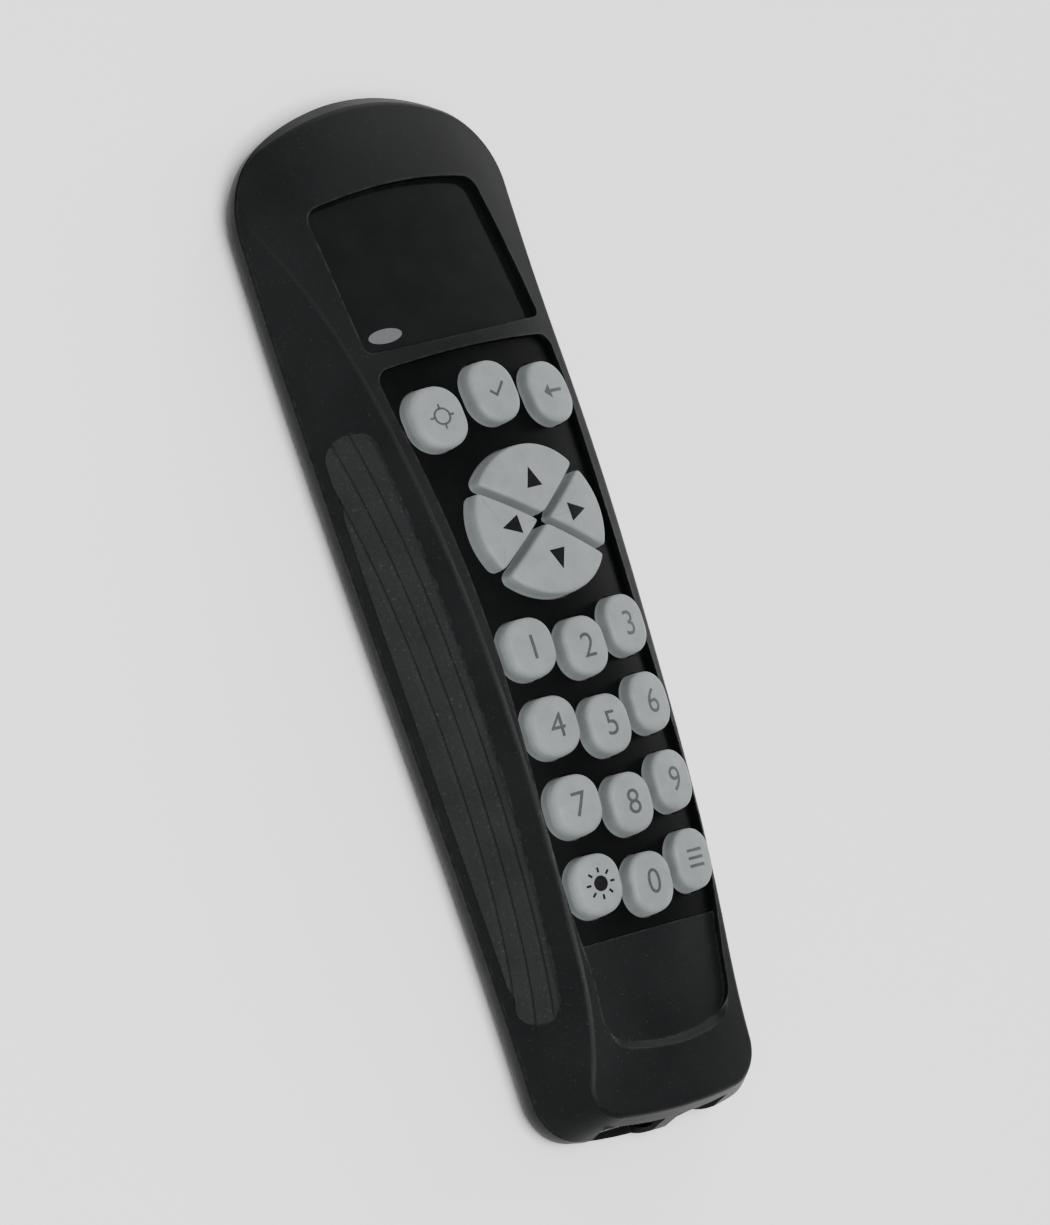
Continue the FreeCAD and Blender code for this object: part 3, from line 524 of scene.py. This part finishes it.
def fan_outline(centre, radius, middle_angle, half_spread):
    """One fan of the pad: a sector with its three corners rounded."""
    tip = PAD_SPLIT / math.sin(half_spread)
    reach = math.sqrt(radius ** 2 - PAD_SPLIT ** 2)
    edge_angle = math.atan2(reach * math.sin(half_spread) - PAD_SPLIT * math.cos(half_spread),
                            reach * math.cos(half_spread) + PAD_SPLIT * math.sin(half_spread))
    points = [Vector((tip, 0.0))]
    for step in range(RIM_STEPS + 1):
        angle = -edge_angle + 2 * edge_angle * step / RIM_STEPS
        points.append(Vector((math.cos(angle), math.sin(angle))) * radius)
    smooth = softened(evened(points, FAN_POINTS), PAD_CORNER)
    turn = Matrix.Rotation(middle_angle, 2)
    return [turn @ point + centre for point in smooth]


def softened(outline, radius):
    """Round the corners of an even outline by averaging along its length, twice."""
    count = len(outline)
    perimeter = sum((outline[(i + 1) % count] - outline[i]).length for i in range(count))
    window_share = 0.75        # of the radius, which two passes make up to about the whole
    window = max(1, round(radius / perimeter * count * window_share))
    for _ in range(2):
        outline = [sum((outline[(i + k) % count] for k in range(-window, window + 1)), Vector((0, 0)))
                   / (2 * window + 1) for i in range(count)]
    return outline


def node_tree(node):
    """A CAD node's mesh as a tree that rays can be cast at."""
    mesh = frame["nodes"][node].data
    return BVHTree.FromPolygons([v.co for v in mesh.vertices], [p.vertices for p in mesh.polygons])


def height_at(tree, place):
    """Height of the highest face over a place, found by a ray from 1 m up."""
    return tree.ray_cast(Vector((*place, 1.0)), Vector((0, 0, -1)))[0].z


class KeyForm:
    """Where one key's top lies: the CAD key's sloped and arched top, with a slight bulge."""

    def __init__(self, node, outline, edge_round):
        self.foot_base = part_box(node)[0].z
        self.outline = outline
        self.edge_round = edge_round
        self.centre = sum(outline, Vector((0, 0))) / len(outline)
        tree = node_tree(node)
        self.middle, north, south, east, west = [
            height_at(tree, self.centre + Vector(side) * PROBE_REACH)
            for side in ((0, 0), (0, 1), (0, -1), (1, 0), (-1, 0))]
        self.slope = Vector((east - west, north - south)) / (2 * PROBE_REACH)
        self.bend = (east + west - 2 * self.middle) / (2 * PROBE_REACH ** 2)
        self.reach = max((point - self.centre).length for point in outline)

    def plane(self, point):
        """Height of the key's top, without the bulge."""
        away = point - self.centre
        return self.middle - PRINT_ROOM + self.slope.dot(away) + self.bend * away.x ** 2

    def top(self, point):
        """Height of the key's top, with the bulge."""
        away = (point - self.centre).length / self.reach
        return self.plane(point) - CROWN * away ** 2

    def under_plane(self, outline, depth):
        return [Vector((*point, self.plane(point) - depth)) for point in outline]

    def under_top(self, outline, depth=0.0):
        return [Vector((*point, self.top(point) - depth)) for point in outline]

    def mesh(self, name):
        """Closed skin from the foot, over the flange and up the wall, to the bulging top."""
        foot = [self.centre + Vector((math.cos(turn), math.sin(turn))) * FOOT_RADIUS
                for turn in self.angles()]
        flange = grown(self.outline, FLANGE)
        rings = [
            [Vector((*point, self.foot_base)) for point in foot],
            self.under_plane(foot, FLANGE_BASE),
            self.under_plane(flange, FLANGE_BASE),
            self.under_plane(flange, FLANGE_TOP),
            self.under_plane(self.outline, FLANGE_TOP),
            self.under_top(self.outline, self.edge_round + WALL_STEP),
        ]
        for step in range(EDGE_STEPS + 1):
            angle = math.radians(90.0 * step / EDGE_STEPS)
            inset = CAP_INSET + self.edge_round * (1 - math.cos(angle))
            drop = self.edge_round * (1 - math.sin(angle))
            rings.append(self.under_top(grown(self.outline, -inset), drop))
        inner = grown(self.outline, -CAP_INSET - self.edge_round)
        for share in TOP_SHARES:
            rings.append(self.under_top([self.centre.lerp(point, share) for point in inner]))
        return skin_rings(name, rings)

    def angles(self):
        """Angles of the foot's points, matched to where the outline starts."""
        start = self.outline[0] - self.centre
        first = math.atan2(start.y, start.x)
        count = len(self.outline)
        return [first + 2 * math.pi * index / count for index in range(count)]


DIGIT_NAMES = ["key_" + digit for digit in "1234567890"]
NUMBER_NAMES = DIGIT_NAMES + ["key_light", "key_list"]
TOP_NAMES = ["key_top_left", "key_top_centre", "key_top_right"]
PAD_ANGLES = {"key_right": 0.0, "key_up": 90.0, "key_left": 180.0, "key_down": 270.0}


def key_outline(node):
    low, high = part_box(node)
    shrink = Vector((FLANGE, FLANGE, 0))
    corner = NUMBER_CORNER if node in NUMBER_NAMES else TOP_CORNER
    return evened(rounded_outline(box_corners(low + shrink, high - shrink), corner), OUTLINE_POINTS)


def pad_middle():
    low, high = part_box("key_left")
    return Vector((0.0, (low.y + high.y) / 2))


def pad_outline(node):
    centre = pad_middle()
    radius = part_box("key_up")[1].y - FLANGE - centre.y
    wide = node in ("key_left", "key_right")
    half_spread = PAD_CROSS if wide else math.pi / 2 - PAD_CROSS
    outline = fan_outline(centre, radius, math.radians(PAD_ANGLES[node]), half_spread)
    return evened(outline, OUTLINE_POINTS)


def make_keys():
    """Replace each CAD key by a softer one of the same size. Returns their forms by name."""
    forms = {}
    for node in NUMBER_NAMES + TOP_NAMES + list(PAD_ANGLES):
        if node in PAD_ANGLES:
            form = KeyForm(node, pad_outline(node), PAD_ROUND)
        else:
            form = KeyForm(node, key_outline(node), CAP_ROUND)
        piece = new_piece("soft_" + node, form.mesh(node + "_mesh"), MATERIALS["key_silicone"],
                          node + "_body")
        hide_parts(node)
        forms[node] = form
    return forms


# ---- what is printed on the keys --------------------------------------------------------------

def digit_mesh(digit, height):
    """Flat closed mesh of one digit, centred on the origin."""
    curve = bpy.data.curves.new("digit", "FONT")
    curve.body = digit
    curve.size = height / DIGIT_SHARE
    curve.extrude = PRINT_LIFT / 2
    curve.resolution_u = 6
    holder = bpy.data.objects.new("digit", curve)
    mesh = bpy.data.meshes.new_from_object(holder)
    bpy.data.objects.remove(holder)
    xs = [v.co.x for v in mesh.vertices]
    ys = [v.co.y for v in mesh.vertices]
    mesh.transform(Matrix.Translation((-(min(xs) + max(xs)) / 2, -(min(ys) + max(ys)) / 2, 0)))
    return mesh


def polygons_mesh(polygons):
    """Flat closed mesh of several outlines, each an anticlockwise list of points in mm."""
    shape = bmesh.new()
    for polygon in polygons:
        low = [shape.verts.new((x * MM, y * MM, -PRINT_LIFT / 2)) for x, y in polygon]
        high = [shape.verts.new((x * MM, y * MM, PRINT_LIFT / 2)) for x, y in polygon]
        shape.faces.new(high)
        shape.faces.new(list(reversed(low)))
        for index in range(len(polygon)):
            following = (index + 1) % len(polygon)
            shape.faces.new((low[index], low[following], high[following], high[index]))
    mesh = bpy.data.meshes.new("icon")
    shape.to_mesh(mesh)
    shape.free()
    return mesh


def cut_finely(shape, step, cuts):
    """Cut a mesh across X and Y in even steps from its middle, so that it can follow a curved face."""
    for axis in (Vector((1, 0, 0)), Vector((0, 1, 0))):
        for index in range(-cuts, cuts + 1):
            everything = shape.verts[:] + shape.edges[:] + shape.faces[:]
            bmesh.ops.bisect_plane(shape, geom=everything, plane_co=axis * (step * index), plane_no=axis)


def lay_on_key(name, mesh, form, at, material, node):
    """Cut a flat mesh finely and lay it on the key's bulging top."""
    shape = bmesh.new()
    shape.from_mesh(mesh)
    bmesh.ops.remove_doubles(shape, verts=shape.verts, dist=1e-7)
    cut_finely(shape, MARK_CUT, MARK_CUTS)
    for vertex in shape.verts:
        point = Vector((vertex.co.x, vertex.co.y)) + at
        vertex.co = Vector((point.x, point.y, form.top(point) + vertex.co.z + INK_RISE))
    bmesh.ops.recalc_face_normals(shape, faces=shape.faces)
    shape.to_mesh(mesh)
    shape.free()
    new_piece(name, mesh, material, node + "_body")


def ring_polygons(radius, width, parts=28):
    """A ring as a row of small four-sided pieces."""
    pieces = []
    for index in range(parts):
        first = 2 * math.pi * index / parts
        last = 2 * math.pi * (index + 1) / parts
        pieces.append([(radius * math.cos(first), radius * math.sin(first)),
                       ((radius + width) * math.cos(first), (radius + width) * math.sin(first)),
                       ((radius + width) * math.cos(last), (radius + width) * math.sin(last)),
                       (radius * math.cos(last), radius * math.sin(last))])
    return pieces


def bar(x, y, width, height):
    return [(x - width / 2, y - height / 2), (x + width / 2, y - height / 2),
            (x + width / 2, y + height / 2), (x - width / 2, y + height / 2)]


def turned(polygon, degrees):
    cosine = math.cos(math.radians(degrees))
    sine = math.sin(math.radians(degrees))
    return [(x * cosine - y * sine, x * sine + y * cosine) for x, y in polygon]


def disc(radius, parts=24):
    return [(radius * math.cos(2 * math.pi * i / parts), radius * math.sin(2 * math.pi * i / parts))
            for i in range(parts)]


def icons():
    """Generic marks, in mm about the middle of each key."""
    rays = [turned(bar(2.35, 0, 0.9, 0.42), 45 * k) for k in range(8)]
    cross = [turned(bar(1.75, 0, 1.1, 0.40), 90 * k) for k in range(4)]
    tick = [[(-1.75, -0.05), (-0.45, -1.2), (-0.45, -0.5), (-1.4, 0.35)],
            [(-0.45, -1.2), (2.0, 1.15), (1.6, 1.5), (-0.45, -0.5)]]
    back = [[(-2.3, 0.0), (-0.7, -1.35), (-0.7, 1.35)], bar(0.75, 0, 2.9, 0.62)]
    return {
        "key_top_left": ring_polygons(1.25, 0.38) + cross,
        "key_top_centre": tick,
        "key_top_right": back,
        "key_light": [disc(1.35)] + rays,
        "key_list": [bar(0, 1.35, 3.7, 0.55), bar(0, 0, 3.7, 0.55), bar(0, -1.35, 3.7, 0.55)],
    }


def print_keys(forms):
    """Icons, digits and arrows, each on its key."""
    for node, polygons in icons().items():
        form = forms[node]
        ink = ARROW_INK if node == "key_light" else KEY_INK
        lay_on_key("mark_" + node, polygons_mesh(polygons), form, form.centre, ink, node)
    for node in DIGIT_NAMES:
        form = forms[node]
        lay_on_key("mark_" + node, digit_mesh(node[-1], DIGIT_HEIGHT), form, form.centre, KEY_INK, node)
    for node, degrees in PAD_ANGLES.items():
        angle = math.radians(degrees)
        at = pad_middle() + Vector((math.cos(angle), math.sin(angle))) * ARROW_REACH
        lay_on_key("mark_" + node, polygons_mesh([turned(ARROW, degrees)]), forms[node], at, ARROW_INK, node)


# ---- stage, light and camera ------------------------------------------------------------------

def view_axes():
    """Right, up and towards-the-camera directions of the picture, in the object's frame."""
    level = math.cos(VIEW_RISE)
    towards = Vector((-math.sin(VIEW_TURN) * level, math.sin(VIEW_RISE), math.cos(VIEW_TURN) * level))
    along = (Vector((0, 1, 0)) - towards * towards.y).normalized()
    beside = along.cross(towards)
    right = beside * math.cos(VIEW_ROLL) - along * math.sin(VIEW_ROLL)
    up = along * math.cos(VIEW_ROLL) + beside * math.sin(VIEW_ROLL)
    return right, up, towards


def make_camera():
    right, up, towards = view_axes()
    low, high = cad_box
    centre = Vector([(a + b) / 2 for a, b in zip(low, high)])
    data = bpy.data.cameras.new("camera")
    data.sensor_fit = "VERTICAL"
    data.sensor_height = SENSOR_HEIGHT
    data.lens = SENSOR_HEIGHT * CAMERA_DISTANCE / FRAME_HEIGHT
    data.clip_start = 0.05
    camera = bpy.data.objects.new("camera", data)
    bpy.context.scene.collection.objects.link(camera)
    turn = Matrix((right, up, towards)).transposed().to_4x4()
    aim = centre + right * AIM_RIGHT + up * AIM_UP
    camera.matrix_world = Matrix.Translation(aim + towards * CAMERA_DISTANCE) @ turn
    bpy.context.scene.camera = camera


def area_light(name, place, width, height, watts):
    """A soft panel that faces the origin."""
    data = bpy.data.lights.new(name, "AREA")
    data.shape = "RECTANGLE"
    data.size = width
    data.size_y = height
    data.energy = watts
    light = bpy.data.objects.new(name, data)
    bpy.context.scene.collection.objects.link(light)
    light.location = place
    light.rotation_euler = Vector(place).to_track_quat("Z", "Y").to_euler()


def make_floor():
    """Pale paper that the controller lies on."""
    reach = FLOOR_REACH
    floor_mesh = bpy.data.meshes.new("floor")
    corners = [(-reach, -reach, 0), (reach, -reach, 0), (reach, reach, 0), (-reach, reach, 0)]
    floor_mesh.from_pydata(corners, [], [(0, 1, 2, 3)])
    floor = bpy.data.objects.new("floor", floor_mesh)
    bpy.context.scene.collection.objects.link(floor)
    r = Recipe("floor_paper").fixed(IOR=1.3)
    cloud = r.noise(3.0, 3.0)
    colour = r.mix(r.spread(cloud, 0.3, 0.7), (0.88, 0.88, 0.875), (0.91, 0.91, 0.905))
    floor_mesh.materials.append(r.finish(colour, r.spread(cloud, 0.3, 0.7, 0.75, 0.85)))


def make_light():
    """Even light from all round, and three soft panels."""
    world = bpy.data.worlds.new("studio")
    world.use_nodes = True
    sky = world.node_tree.nodes["Background"]
    sky.inputs["Color"].default_value = (1.0, 1.0, 1.0, 1.0)
    sky.inputs["Strength"].default_value = SKY_STRENGTH
    bpy.context.scene.world = world
    for name, (place, width, height, watts) in PANELS.items():
        area_light(name, place, width, height, watts)


def make_dot():
    """The small pale oval printed at the window's lower left corner."""
    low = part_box("display_window")[0]
    middle = Vector((low.x + DOT_IN, low.y + DOT_UP))
    tree = node_tree("display_window")
    shape = bmesh.new()
    bmesh.ops.create_cone(shape, cap_ends=True, segments=48, radius1=1.0, radius2=1.0, depth=DOT_THICK)
    bmesh.ops.scale(shape, vec=(DOT_HALF_WIDTH, DOT_HALF_HEIGHT, 1.0), verts=shape.verts)
    cut_finely(shape, DOT_CUT, DOT_CUTS)
    for vertex in shape.verts:
        place = vertex.co.xy + middle
        vertex.co = Vector((*place, height_at(tree, place) + vertex.co.z + DOT_RISE))
    dot = bpy.data.meshes.new("dot")
    shape.to_mesh(dot)
    shape.free()
    new_piece("window_dot", dot, PALE_INK, "case")


make_camera()
make_floor()
make_light()
dress_frame()
print_keys(make_keys())
make_dot()
